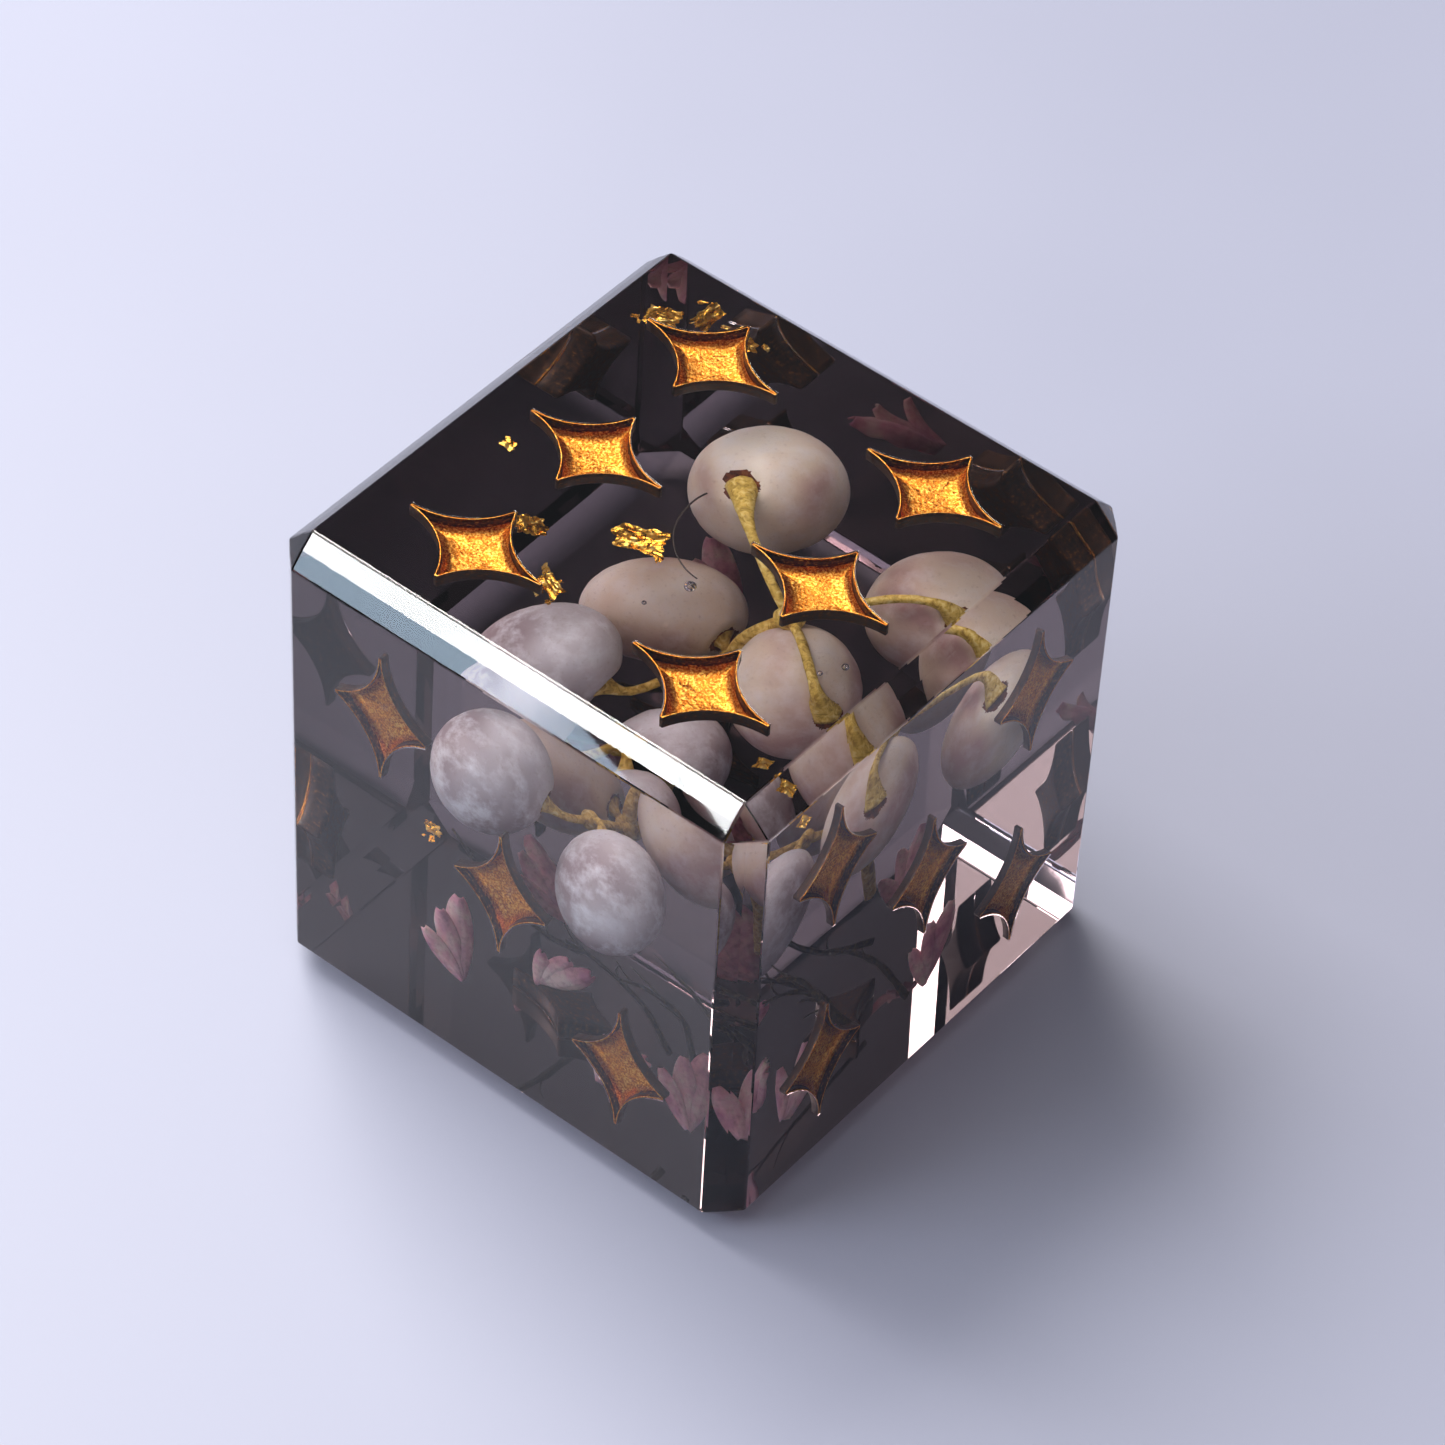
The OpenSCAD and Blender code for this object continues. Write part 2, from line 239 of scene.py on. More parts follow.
def cap_ring(bm, ring, tip):
    """Closes a ring of vertices with a fan to one point, and returns that point's vertex."""
    peak = bm.verts.new(tip)
    for i in range(len(ring)):
        bm.faces.new((ring[i], ring[(i + 1) % len(ring)], peak))
    return peak


def piece(name, bm, materials, nodes, smooth=True):
    """Turns a finished bmesh into a piece that stands for CAD nodes."""
    mesh = bpy.data.meshes.new(name)
    bm.to_mesh(mesh)
    bm.free()
    for material in materials:
        mesh.materials.append(material)
    for polygon in mesh.polygons:
        polygon.use_smooth = smooth
    made = bpy.data.objects.new(name, mesh)
    bpy.context.collection.objects.link(made)
    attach(made, "root")
    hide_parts(*nodes)
    return made


# Materials

def srgb(red, green, blue):
    """A colour given on a 0-255 scale, as the linear values that a shader takes."""
    def linear(c):
        c = c / 255
        return c / 12.92 if c <= 0.04045 else ((c + 0.055) / 1.055) ** 2.4
    return (linear(red), linear(green), linear(blue), 1.0)


class Shader:
    """A material's nodes, with the parts that most of these materials share."""

    def __init__(self, name):
        self.material = bpy.data.materials.new(name)
        self.material.use_nodes = True
        self.nodes = self.material.node_tree.nodes
        self.links = self.material.node_tree.links
        self.bsdf = self.nodes["Principled BSDF"]
        self.output = self.nodes["Material Output"]
        coordinates = self.nodes.new("ShaderNodeTexCoord")
        scale = self.nodes.new("ShaderNodeVectorMath")
        scale.operation = "SCALE"
        scale.inputs["Scale"].default_value = 1 / MM
        self.links.new(coordinates.outputs["Object"], scale.inputs[0])
        self.place = scale.outputs[0]

    def set(self, **values):
        for name, value in values.items():
            self.bsdf.inputs[name.replace("_", " ")].default_value = value

    def noise(self, scale, detail=4.0, roughness=0.55, distortion=0.0):
        made = self.nodes.new("ShaderNodeTexNoise")
        made.inputs["Scale"].default_value = scale
        made.inputs["Detail"].default_value = detail
        made.inputs["Roughness"].default_value = roughness
        made.inputs["Distortion"].default_value = distortion
        self.links.new(self.place, made.inputs["Vector"])
        return made.outputs["Fac"]

    def cells(self, scale):
        made = self.nodes.new("ShaderNodeTexVoronoi")
        made.inputs["Scale"].default_value = scale
        self.links.new(self.place, made.inputs["Vector"])
        return made.outputs["Distance"]

    def ramp(self, value, stops):
        made = self.nodes.new("ShaderNodeValToRGB")
        elements = made.color_ramp.elements
        for i, (position, colour) in enumerate(stops):
            element = elements[i] if i < 2 else elements.new(position)
            element.position = position
            element.color = colour
        self.links.new(value, made.inputs["Fac"])
        return made.outputs["Color"]

    def spread(self, value, low, high, low_at=0.3, high_at=0.7):
        """Maps a noise value onto a range of numbers."""
        made = self.nodes.new("ShaderNodeMapRange")
        made.inputs["From Min"].default_value = low_at
        made.inputs["From Max"].default_value = high_at
        made.inputs["To Min"].default_value = low
        made.inputs["To Max"].default_value = high
        self.links.new(value, made.inputs["Value"])
        return made.outputs["Result"]

    def mix(self, factor, a, b):
        """Mixes two colours, each a colour or the output of a node."""
        made = self.nodes.new("ShaderNodeMix")
        made.data_type = "RGBA"
        for name, value in (("Factor", factor), ("A", a), ("B", b)):
            socket = made.inputs[name]
            if isinstance(value, (float, tuple)):
                socket.default_value = value
            else:
                self.links.new(value, socket)
        return made.outputs["Result"]

    def colour(self, value):
        self.links.new(value, self.bsdf.inputs["Base Color"])

    def roughness(self, value):
        self.links.new(value, self.bsdf.inputs["Roughness"])

    def bump(self, value, strength, distance):
        """Adds a bump on top of those added before it."""
        made = self.nodes.new("ShaderNodeBump")
        made.inputs["Strength"].default_value = strength
        made.inputs["Distance"].default_value = distance
        self.links.new(value, made.inputs["Height"])
        normal = self.bsdf.inputs["Normal"]
        if normal.is_linked:
            self.links.new(normal.links[0].from_socket, made.inputs["Normal"])
        self.links.new(made.outputs["Normal"], normal)


def resin_material():
    """Clear resin, faintly uneven where it was polished, that darkens what lies deep in it."""
    s = Shader("smoky_resin")
    s.set(Base_Color=(0.985, 0.975, 0.985, 1), Roughness=0.015, IOR=1.5, Transmission_Weight=1.0)
    s.bump(s.noise(0.35, detail=1.0), 0.10, 0.01 * MM)
    s.bump(s.noise(1.6, detail=1.0), 0.05, 0.002 * MM)
    smoke = s.nodes.new("ShaderNodeVolumeAbsorption")
    smoke.inputs["Color"].default_value = (0.52, 0.44, 0.45, 1)
    smoke.inputs["Density"].default_value = 1.6 / HALF
    s.links.new(smoke.outputs["Volume"], s.output.inputs["Volume"])
    return s.material


def paint_material():
    s = Shader("gold_paint")
    s.set(Metallic=1.0)
    grain = s.noise(15.0, detail=3.0, roughness=0.7)
    pools = s.noise(1.6, detail=2.0)
    golds = [(0.36, srgb(136, 62, 12)), (0.50, srgb(216, 130, 36)), (0.62, srgb(255, 210, 104))]
    base = s.ramp(grain, golds)
    s.colour(s.mix(s.spread(pools, 0.0, 0.4), base, srgb(214, 126, 34)))
    s.roughness(s.spread(grain, 0.26, 0.42))
    s.bump(grain, 0.55, 0.03 * MM)
    s.bump(s.cells(9.0), 0.25, 0.03 * MM)
    return s.material


def paint_back_material():
    """The back of the paint, dark where the resin wets it."""
    s = Shader("gold_paint_back")
    s.set(Metallic=0.35)
    grain = s.noise(7.0, detail=4.0)
    browns = [(0.35, srgb(34, 17, 8)), (0.6, srgb(66, 36, 14)), (0.8, srgb(140, 88, 30))]
    s.colour(s.ramp(grain, browns))
    s.roughness(s.spread(grain, 0.4, 0.6))
    s.bump(grain, 0.3, 0.02 * MM)
    return s.material


def shaded_wall_paint_material():
    """Gold paint on a recess's walls, darker than its floor: painted shade for walls that stand in
    shadow.
    """
    s = Shader("gold_paint_wall_painted_shade")
    s.set(Metallic=0.9)
    grain = s.noise(9.0, detail=4.0, roughness=0.6)
    # Mostly dark coppers: painted shade on the recess walls
    shade_coppers = [(0.42, srgb(62, 24, 8)), (0.58, srgb(110, 50, 14)), (0.72, srgb(224, 156, 72))]
    s.colour(s.ramp(grain, shade_coppers))
    s.roughness(s.spread(grain, 0.3, 0.5))
    s.bump(grain, 0.4, 0.02 * MM)
    return s.material


def berry_material(name, skins, bloom_share):
    """A dried berry's skin: three mottled tones, under a share of frosty bloom."""
    s = Shader(name)
    blush = s.noise(0.30, detail=2.0, roughness=0.4, distortion=0.3)
    clouds = s.noise(1.3, detail=5.0, roughness=0.65)
    specks = s.noise(9.0, detail=3.0, roughness=0.6)
    base = s.ramp(blush, list(zip((0.36, 0.50, 0.64), skins)))
    frost = s.mix(s.spread(clouds, 0.0, bloom_share, 0.44, 0.66), base, srgb(248, 250, 255))
    s.colour(s.mix(s.spread(specks, 0.0, 0.30, 0.58, 0.78), frost, srgb(150, 122, 100)))
    s.roughness(s.spread(clouds, 0.34, 0.52))
    s.set(Subsurface_Weight=0.15, Subsurface_Scale=0.5 * MM, Subsurface_Radius=(1.0, 0.75, 0.65))
    s.bump(s.noise(2.2, detail=4.0, roughness=0.5), 0.25, 0.08 * MM)
    s.bump(specks, 0.15, 0.02 * MM)
    return s.material


def pit_material():
    s = Shader("berry_pit")
    scar = s.noise(4.5, detail=4.0)
    browns = [(0.35, srgb(74, 34, 18)), (0.6, srgb(128, 66, 34)), (0.75, srgb(168, 110, 60))]
    s.colour(s.ramp(scar, browns))
    s.roughness(s.spread(scar, 0.5, 0.75))
    s.bump(scar, 0.6, 0.06 * MM)
    return s.material


def stalk_material():
    s = Shader("dry_stalk")
    fibres = s.noise(5.0, detail=5.0, distortion=0.8)
    blotches = s.noise(1.3, detail=3.0)
    straw = [(0.34, srgb(178, 140, 48)), (0.50, srgb(232, 200, 92)), (0.66, srgb(252, 232, 150))]
    base = s.ramp(fibres, straw)
    s.colour(s.mix(s.spread(blotches, 0.0, 0.7, 0.55, 0.75), base, srgb(140, 84, 40)))
    s.roughness(s.spread(fibres, 0.45, 0.7))
    s.bump(fibres, 0.5, 0.04 * MM)
    return s.material


def petal_material():
    s = Shader("petal")
    blush = s.noise(0.8, detail=4.0)
    flecks = s.noise(6.0, detail=3.0)
    pinks = [(0.36, srgb(206, 138, 166)), (0.5, srgb(240, 184, 196)), (0.64, srgb(255, 230, 222))]
    base = s.ramp(blush, pinks)
    s.colour(s.mix(s.spread(flecks, 0.0, 0.3, 0.5, 0.7), base, srgb(150, 96, 92)))
    s.roughness(s.spread(flecks, 0.5, 0.75))
    s.set(Subsurface_Weight=0.2, Subsurface_Scale=0.3 * MM)
    s.bump(flecks, 0.3, 0.03 * MM)
    return s.material


def twig_material():
    s = Shader("dark_twig")
    bark = s.noise(6.0, detail=5.0, distortion=1.0)
    olives = [(0.35, srgb(30, 24, 14)), (0.55, srgb(62, 52, 28)), (0.75, srgb(112, 94, 48))]
    s.colour(s.ramp(bark, olives))
    s.roughness(s.spread(bark, 0.5, 0.75))
    s.bump(bark, 0.6, 0.04 * MM)
    return s.material


def leaf_material():
    s = Shader("gold_leaf")
    s.set(Metallic=1.0)
    creases = s.noise(4.0, detail=5.0, distortion=0.5)
    golds = [(0.32, srgb(214, 140, 44)), (0.52, srgb(250, 190, 74)), (0.7, srgb(255, 226, 140))]
    s.colour(s.ramp(creases, golds))
    s.roughness(s.spread(creases, 0.18, 0.38))
    s.bump(creases, 0.7, 0.06 * MM)
    return s.material


def fibre_material():
    s = Shader("dark_fibre")
    twist = s.noise(12.0, detail=2.0)
    s.colour(s.ramp(twist, [(0.4, srgb(28, 22, 22)), (0.65, srgb(74, 62, 56))]))
    s.roughness(s.spread(twist, 0.45, 0.7))
    return s.material


def floor_material():
    """Plain and pale, with a mottle too faint to draw the eye."""
    s = Shader("pale_floor")
    mottle = s.noise(0.02, detail=3.0)
    s.colour(s.ramp(mottle, [(0.3, srgb(108, 110, 126)), (0.7, srgb(114, 116, 132))]))
    s.roughness(s.spread(mottle, 0.5, 0.6))
    return s.material


# Pips

def tip_limit(along, aside, reach):
    """How far out along a tip an arc of that reach is before it closes the tip."""
    drop = reach ** 2 - (aside - LEAST_TIP) ** 2
    return along - math.sqrt(drop) if drop > 0 else math.inf


class Pip:
    """One pip: where it lies on its face, and its outline at any margin and depth."""

    def __init__(self, node, face):
        self.node, self.face = node, face
        turn = turned(FACE_TURNS[face])
        self.across, self.along, self.normal = turn.col[0], turn.col[1], turn.col[2]
        low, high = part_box(node)
        size = high - low
        self.width = abs(size.dot(self.across))
        self.length = abs(size.dot(self.along))
        self.depth = abs(size.dot(self.normal))
        offset = (low + high) / 2 - CENTRE
        self.spot = Vector((offset.dot(self.across), offset.dot(self.along)))
        self.surface = CENTRE + self.normal * HALF

    def outline(self, margin):
        """The four hollow sides, shrunk by a margin, as points about the pip's middle."""
        side = Vector((self.width / 2 - PIP_TIP, PIP_TIP - self.length / 2))
        chord = side.length
        radius = ((chord / 2) ** 2 + PIP_HOLLOW ** 2) / (2 * PIP_HOLLOW)
        outward = Vector((-side.y, side.x)) / chord
        corner = Vector((self.width / 2 + PIP_TIP, PIP_TIP + self.length / 2)) / 2
        centre = corner + outward * (radius - PIP_HOLLOW)
        reach = radius + margin
        end_x = min(self.width / 2 - margin, tip_limit(centre.x, centre.y, reach))
        end_y = min(self.length / 2 - margin, tip_limit(centre.y, centre.x, reach))
        first_y = -math.sqrt(reach ** 2 - (centre.x - end_x) ** 2)
        last_x = -math.sqrt(reach ** 2 - (centre.y - end_y) ** 2)
        first = math.atan2(first_y, end_x - centre.x) % math.tau
        last = math.atan2(end_y - centre.y, last_x) % math.tau
        quarter = []
        for i in range(ARC_STEPS + 1):
            angle = first + (last - first) * i / ARC_STEPS
            quarter.append(centre + Vector((math.cos(angle), math.sin(angle))) * reach)
        mirrored = [Vector((-p.x, p.y)) for p in reversed(quarter)]
        upper = quarter + mirrored
        return upper + [Vector((-p.x, -p.y)) for p in upper]

    def place(self, point, depth):
        p = self.spot + point
        return self.surface + self.across * p.x + self.along * p.y - self.normal * depth

    def ring(self, margin, depth):
        return [self.place(p, depth) for p in self.outline(margin)]


def all_pips():
    found = []
    for face in FACE_TURNS:
        nodes = sorted(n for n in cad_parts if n.startswith("pip_" + face))
        found += [Pip(node, face) for node in nodes]
    return found


def recess_profile(depth, fillet):
    """Margin and depth down a recess's rounded lip, its wall and the fillet at its floor."""
    profile = []
    for i in range(LIP_STEPS + 1):
        angle = math.radians(90 * i / LIP_STEPS)
        profile.append((-PIP_LIP * (1 - math.sin(angle)), PIP_LIP * (1 - math.cos(angle))))
    profile.append((0, depth / 3))
    for i in range(FILLET_STEPS + 1):
        angle = math.radians(90 * i / FILLET_STEPS)
        profile.append((fillet * (1 - math.cos(angle)), depth - fillet * (1 - math.sin(angle))))
    return profile


# The resin body

def body_shell(bm):
    """The cube with slightly crowned edge flats, corner triangles and softly polished edges."""
    flat = HALF - EDGE_FLAT
    ridge = HALF - EDGE_FLAT / 2 + EDGE_CROWN / math.sqrt(2)
    for axis in range(3):
        for side in (-1, 1):
            for u in (-flat, flat):
                for v in (-flat, flat):
                    corner = Vector((0, 0, 0))
                    corner[axis] = side * HALF
                    corner[(axis + 1) % 3] = u
                    corner[(axis + 2) % 3] = v
                    bm.verts.new(CENTRE + corner)
                crown = Vector((0, 0, 0))
                crown[axis] = side * flat
                crown[(axis + 1) % 3] = math.copysign(ridge, u)
                for v in (-ridge, ridge):
                    crown[(axis + 2) % 3] = v
                    bm.verts.new(CENTRE + crown)
    bmesh.ops.convex_hull(bm, input=bm.verts[:])
    bmesh.ops.dissolve_limit(bm, angle_limit=FLAT_ANGLE, verts=bm.verts[:], edges=bm.edges[:])
    sharp = [e for e in bm.edges if e.calc_face_angle() > SHARP_ANGLE]
    bmesh.ops.bevel(bm, geom=sharp, offset=EDGE_SOFTNESS, segments=2, profile=0.5, affect="EDGES")


def cut_face(bm, name, pips):
    """Replaces one large face with the same face round the mouths of its pips."""
    normal = turned(FACE_TURNS[name]).col[2]
    large = [f for f in bm.faces if f.normal.dot(normal) > 0.999 and f.calc_area() > HALF ** 2]
    corners = list(large[0].verts)
    bmesh.ops.delete(bm, geom=large, context="FACES_ONLY")
    verts = list(corners)
    edges = [(i, (i + 1) % len(corners)) for i in range(len(corners))]
    for pip in pips:
        start = len(verts)
        profile = recess_profile(pip.depth, PIP_FILLET)
        rings = add_rings(bm, [pip.ring(margin, depth) for margin, depth in profile])
        cap_ring(bm, rings[-1], pip.place(Vector((0, 0)), pip.depth))
        verts += rings[0]
        count = len(rings[0])
        edges += [(start + i, start + (i + 1) % count) for i in range(count)]
    across, along = pips[0].across, pips[0].along
    flat = [Vector(((v.co - CENTRE).dot(across), (v.co - CENTRE).dot(along))) / HALF for v in verts]
    _, _, triangles, sources, _, _ = delaunay_2d_cdt(flat, edges, [], INSIDE_WITH_HOLES, 1e-6)
    for triangle in triangles:
        bm.faces.new([verts[sources[i][0]] for i in triangle])


def add_bubbles(bm):
    """Small closed cavities, whose walls face the air inside them."""
    for place, width in BUBBLES:
        made = bmesh.ops.create_icosphere(bm, subdivisions=3, radius=width * MM / 2)
        faces = {f for v in made["verts"] for f in v.link_faces}
        for v in made["verts"]:
            v.co = at(place) + v.co * (1 + 0.05 * wobble(v.co, 0.2 * MM, width))
        bmesh.ops.reverse_faces(bm, faces=list(faces))


def build_body(pips, material):
    bm = bmesh.new()
    body_shell(bm)
    for face in FACE_TURNS:
        cut_face(bm, face, [pip for pip in pips if pip.face == face])
    bmesh.ops.recalc_face_normals(bm, faces=bm.faces[:])
    add_bubbles(bm)
    piece("resin_body_looks", bm, [material], ["resin_body"], smooth=False)


# The paint in a recess

def paint_rings(pip, seed):
    """Rings of paint up its outer skin and down its inner skin, and how many are outer."""
    outer = recess_profile(pip.depth, PIP_FILLET)[LIP_STEPS:]
    rings = [pip.ring(m - PAINT_GRIP, d + PAINT_GRIP) for m, d in reversed(outer)]
    rings.append(pip.ring(PAINT_COAT / 3, PIP_LIP))
    inner_depth = pip.depth - PAINT_COAT
    for margin, depth in recess_profile(inner_depth, PAINT_MENISCUS)[LIP_STEPS:]:
        ring = pip.ring(margin + PAINT_COAT, depth)
        rings.append([p + pip.normal * 0.01 * MM * wobble(p, 0.25 * MM, seed) for p in ring])
    return rings, len(outer)


def paint_floor(bm, pip, ring, seed):
    """A slightly dished, uneven floor from the last ring to the middle."""
    centre = pip.place(Vector((0, 0)), pip.depth - PAINT_COAT)
    edge = [v.co.copy() for v in ring]
    previous = ring
    for share in PAINT_RINGS:
        points = []
        for p in edge:
            q = centre.lerp(p, share)
            lift = 0.02 * MM * wobble(q, 0.5 * MM, seed) + 0.008 * MM * wobble(q, 0.16 * MM, seed)
            points.append(q + pip.normal * (lift - PAINT_DISH * (1 - share ** 2)))
        current = [bm.verts.new(p) for p in points]
        join_rings(bm, previous, current)
        previous = current
    cap_ring(bm, previous, centre - pip.normal * PAINT_DISH)


def build_paint(pip, materials, seed):
    """A coat of paint: gold on its floor, dark on its back, and darker on its walls as painted shade.
    """
    bm = bmesh.new()
    rings, outer_count = paint_rings(pip, seed)
    made = add_rings(bm, rings)
    behind = {v for ring in made[:outer_count] for v in ring}
    behind.add(cap_ring(bm, made[0], pip.place(Vector((0, 0)), pip.depth + PAINT_GRIP)))
    paint_floor(bm, pip, made[-1], seed)
    bmesh.ops.recalc_face_normals(bm, faces=bm.faces[:])
    for f in bm.faces:
        if all(v in behind for v in f.verts):
            f.material_index = 1
        # Steep wall faces get the darker paint, which is painted shade
        elif abs(f.normal.dot(pip.normal)) < 0.3:
            f.material_index = 2
    piece(pip.node + "_looks", bm, materials, [pip.node])


# Berries

class Berry:
    """A berry's place, its long axis and its girth, from its CAD ellipsoid."""

    def __init__(self, letter):
        axis, self.ratio = BERRIES[letter]
        low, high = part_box("berry_" + letter)
        self.centre = (low + high) / 2
        self.across = ((high - low) / 2).length / math.sqrt(2 + self.ratio ** 2)
        self.turn = Vector(axis).to_track_quat("Z", "Y").to_matrix()

    def radius(self, d):
        """Distance from the middle to the skin, in a direction of the berry's own frame."""
        return self.across / math.sqrt(d.x ** 2 + d.y ** 2 + (d.z / self.ratio) ** 2)

    def towards(self, point):
        return (self.turn.transposed() @ (point - self.centre)).normalized()

    def under_skin(self, point, depth):
        """The point at a depth under the skin, on the side of another point."""
        direction = self.towards(point)
        return self.centre + self.turn @ direction * (self.radius(direction) - depth)


def build_berry(letter, materials):
    """A dried berry: an oval with dents, faint folds and a pit where its stalk joins it."""
    berry = Berry(letter)
    pit = berry.towards(at(STALKS[letter][-1]))
    seed = 3.1 * ord(letter)
    bm = bmesh.new()
    bmesh.ops.create_icosphere(bm, subdivisions=6, radius=1)
    for v in bm.verts:
        d = v.co.normalized()
        around = d.angle(pit)
        dents = 0.016 * (wobble(d, 0.9, seed) - 0.6)
        folds = 0.006 * max(0.0, 0.3 - abs(wobble(d, 0.4, seed + 5))) / 0.3
        skin = 0.002 * wobble(d, 0.12, seed + 9)
        dip = PIT_DEPTH * math.exp(-(around / PIT_REACH) ** 2)
        lip = PIT_LIP * math.exp(-((around - 0.36) / 0.12) ** 2)
        v.co = d * berry.radius(d) * (1 + dents - folds + skin - (dip - lip) - BERRY_INSET)
    for f in bm.faces:
        middle_of = f.calc_center_median()
        if middle_of.angle(pit) < 0.25 + 0.06 * wobble(middle_of, 0.3 * MM, seed):
            f.material_index = 1
    place = Matrix.Translation(berry.centre) @ berry.turn.to_4x4()
    bmesh.ops.transform(bm, matrix=place, verts=bm.verts[:])
    piece("berry_" + letter + "_looks", bm, materials, ["berry_" + letter])


# Stems and twigs

def tapered(width, start, end, ripple=0.0, waves=0.0):
    """The radius of a tube along its length, from one share of half a width to another."""
    return lambda t: width / 2 * (start + (end - start) * t) * (1 + ripple * math.sin(waves * t))


def smooth_route(points, steps=10):
    """A curve through the points, with a number of steps between each two."""
    padded = [points[0] * 2 - points[1]] + points + [points[-1] * 2 - points[-2]]
    curve = []
    for a, b, c, d in zip(padded, padded[1:], padded[2:], padded[3:]):
        for i in range(steps):
            t = i / steps
            curve.append(((b * 2) + (c - a) * t + (a * 2 - b * 5 + c * 4 - d) * t ** 2
                          + (b * 3 - a - c * 3 + d) * t ** 3) / 2)
    return curve + [points[-1]]


def sweep(bm, curve, radius_at, sides=18, rough=0.05, seed=0.0):
    """A closed, slightly uneven tube along a curve. radius_at takes the share of its length."""
    side = (curve[1] - curve[0]).orthogonal().normalized()
    rings = []
    for i, point in enumerate(curve):
        ahead = curve[min(i + 1, len(curve) - 1)] - curve[max(i - 1, 0)]
        ahead.normalize()
        side = (side - ahead * side.dot(ahead)).normalized()
        other = ahead.cross(side)
        radius = radius_at(i / (len(curve) - 1))
        ring = []
        for k in range(sides):
            angle = math.tau * k / sides
            spoke = side * math.cos(angle) + other * math.sin(angle)
            uneven = 1 + rough * wobble(point + spoke * radius, 0.22 * MM, seed)
            uneven += rough * 0.6 * math.sin(5 * angle + seed)
            ring.append(point + spoke * radius * uneven)
        rings.append(ring)
    made = add_rings(bm, rings)
    cap_ring(bm, made[0], curve[0])
    cap_ring(bm, made[-1], curve[-1])


def add_burl(bm, place, width, seed):
    made = bmesh.ops.create_icosphere(bm, subdivisions=4, radius=width * MM)
    for v in made["verts"]:
        lump = 1 + 0.16 * wobble(v.co, 0.3 * MM, seed) + 0.06 * wobble(v.co, 0.1 * MM, seed)
        v.co = at(place) + v.co * lump


def stalk_radius(share):
    """A thin stalk, with a swollen foot and a wide flare where it meets the berry."""
    flare = max(0.0, (share - 0.55) / 0.45) ** 1.8
    foot = max(0.0, 1 - share / 0.12) * 0.25
    ripple = 0.02 * math.sin(share * 40)
    return STALK_D / 2 * (0.92 + foot + ripple) + (FLARE_D - STALK_D) / 2 * flare


def build_sprig(material):
    bm = bmesh.new()
    for i, (route, start, end) in enumerate(LIMBS):
        curve = smooth_route([at(p) for p in route])
        sweep(bm, curve, tapered(STEM_D, start, end, 0.08, 17), seed=i)
    for i, (place, width) in enumerate(BURLS):
        add_burl(bm, place, width, i + 2.5)
    for letter, route in STALKS.items():
        landing = Berry(letter).under_skin(at(route[-1]), STALK_BITE)
        curve = smooth_route([at(p) for p in route[:-1]] + [landing])
        sweep(bm, curve, stalk_radius, seed=ord(letter) * 0.3)
    bmesh.ops.recalc_face_normals(bm, faces=bm.faces[:])
    piece("sprig_stem_looks", bm, [material], ["sprig_stem"])


def build_twig(letter, material):
    bm = bmesh.new()
    points = [at(p) for p in TWIGS[letter]]
    curve = smooth_route(points)
    seed = ord(letter) * 1.7
    sweep(bm, curve, tapered(TWIG_D, 1, 0.45, 0.12, 31), rough=0.2, seed=seed)
    rng = random.Random(letter)
    for share in TWIG_SHOOTS:
        start = curve[int(share * (len(curve) - 1))]
        heading = (points[-1] - points[0]).normalized()
        aside = Vector((rng.uniform(-1, 1), rng.uniform(-1, 0.4), rng.uniform(-0.2, 0.8))).normalized()
        reach = rng.uniform(0.6, 1.1) * MM
        tip = start + (heading * 0.7 + aside * 0.7) * reach
        bend = start.lerp(tip, 0.5) + heading * 0.12 * MM
        sweep(bm, smooth_route([start, bend, tip]), tapered(TWIG_D, 0.4, 0.16), sides=10, seed=seed)
    bmesh.ops.recalc_face_normals(bm, faces=bm.faces[:])
    piece("twig_" + letter + "_looks", bm, [material], ["twig_" + letter])


def build_fibre(material):
    """A thin fibre along the CAD fibre's bend."""
    pivot = at(FIBRE_PIVOT)
    height = middle("fibre").z
    curve = []
    for i in range(41):
        angle = math.radians(FIBRE_START + FIBRE_TURN * i / 40)
        x = pivot.x + FIBRE_BEND * math.cos(angle)
        y = pivot.y + FIBRE_BEND * math.sin(angle)
        curve.append(Vector((x, y, height + 0.02 * MM * math.sin(i * 0.5))))
    bm = bmesh.new()
    sweep(bm, curve, tapered(2 * FIBRE_RADIUS, 1, 0.7), sides=10, rough=0.1)
    bmesh.ops.recalc_face_normals(bm, faces=bm.faces[:])
    piece("fibre_looks", bm, [material], ["fibre"])


# Petals and gold leaf

def closed_sheet(bm, grid, thickness):
    """A thin closed sheet over a grid of points, with its edges joined all round."""
    rows, columns = len(grid), len(grid[0])

    def offset(i, j):
        du = grid[min(i + 1, rows - 1)][j] - grid[max(i - 1, 0)][j]
        dv = grid[i][min(j + 1, columns - 1)] - grid[i][max(j - 1, 0)]
        return du.cross(dv).normalized() * thickness / 2

    top = [[bm.verts.new(grid[i][j] + offset(i, j)) for j in range(columns)] for i in range(rows)]
    under = [[bm.verts.new(grid[i][j] - offset(i, j)) for j in range(columns)] for i in range(rows)]
    for i in range(rows - 1):
        for j in range(columns - 1):
            bm.faces.new((top[i][j], top[i + 1][j], top[i + 1][j + 1], top[i][j + 1]))
            bm.faces.new((under[i][j], under[i][j + 1], under[i + 1][j + 1], under[i + 1][j]))
    border = [(i, 0) for i in range(rows)]
    border += [(rows - 1, j) for j in range(1, columns)]
    border += [(i, columns - 1) for i in range(rows - 2, -1, -1)]
    border += [(0, j) for j in range(columns - 2, 0, -1)]
    for (a, b), (c, d) in zip(border, border[1:] + border[:1]):
        bm.faces.new((top[a][b], under[a][b], under[c][d], top[c][d]))


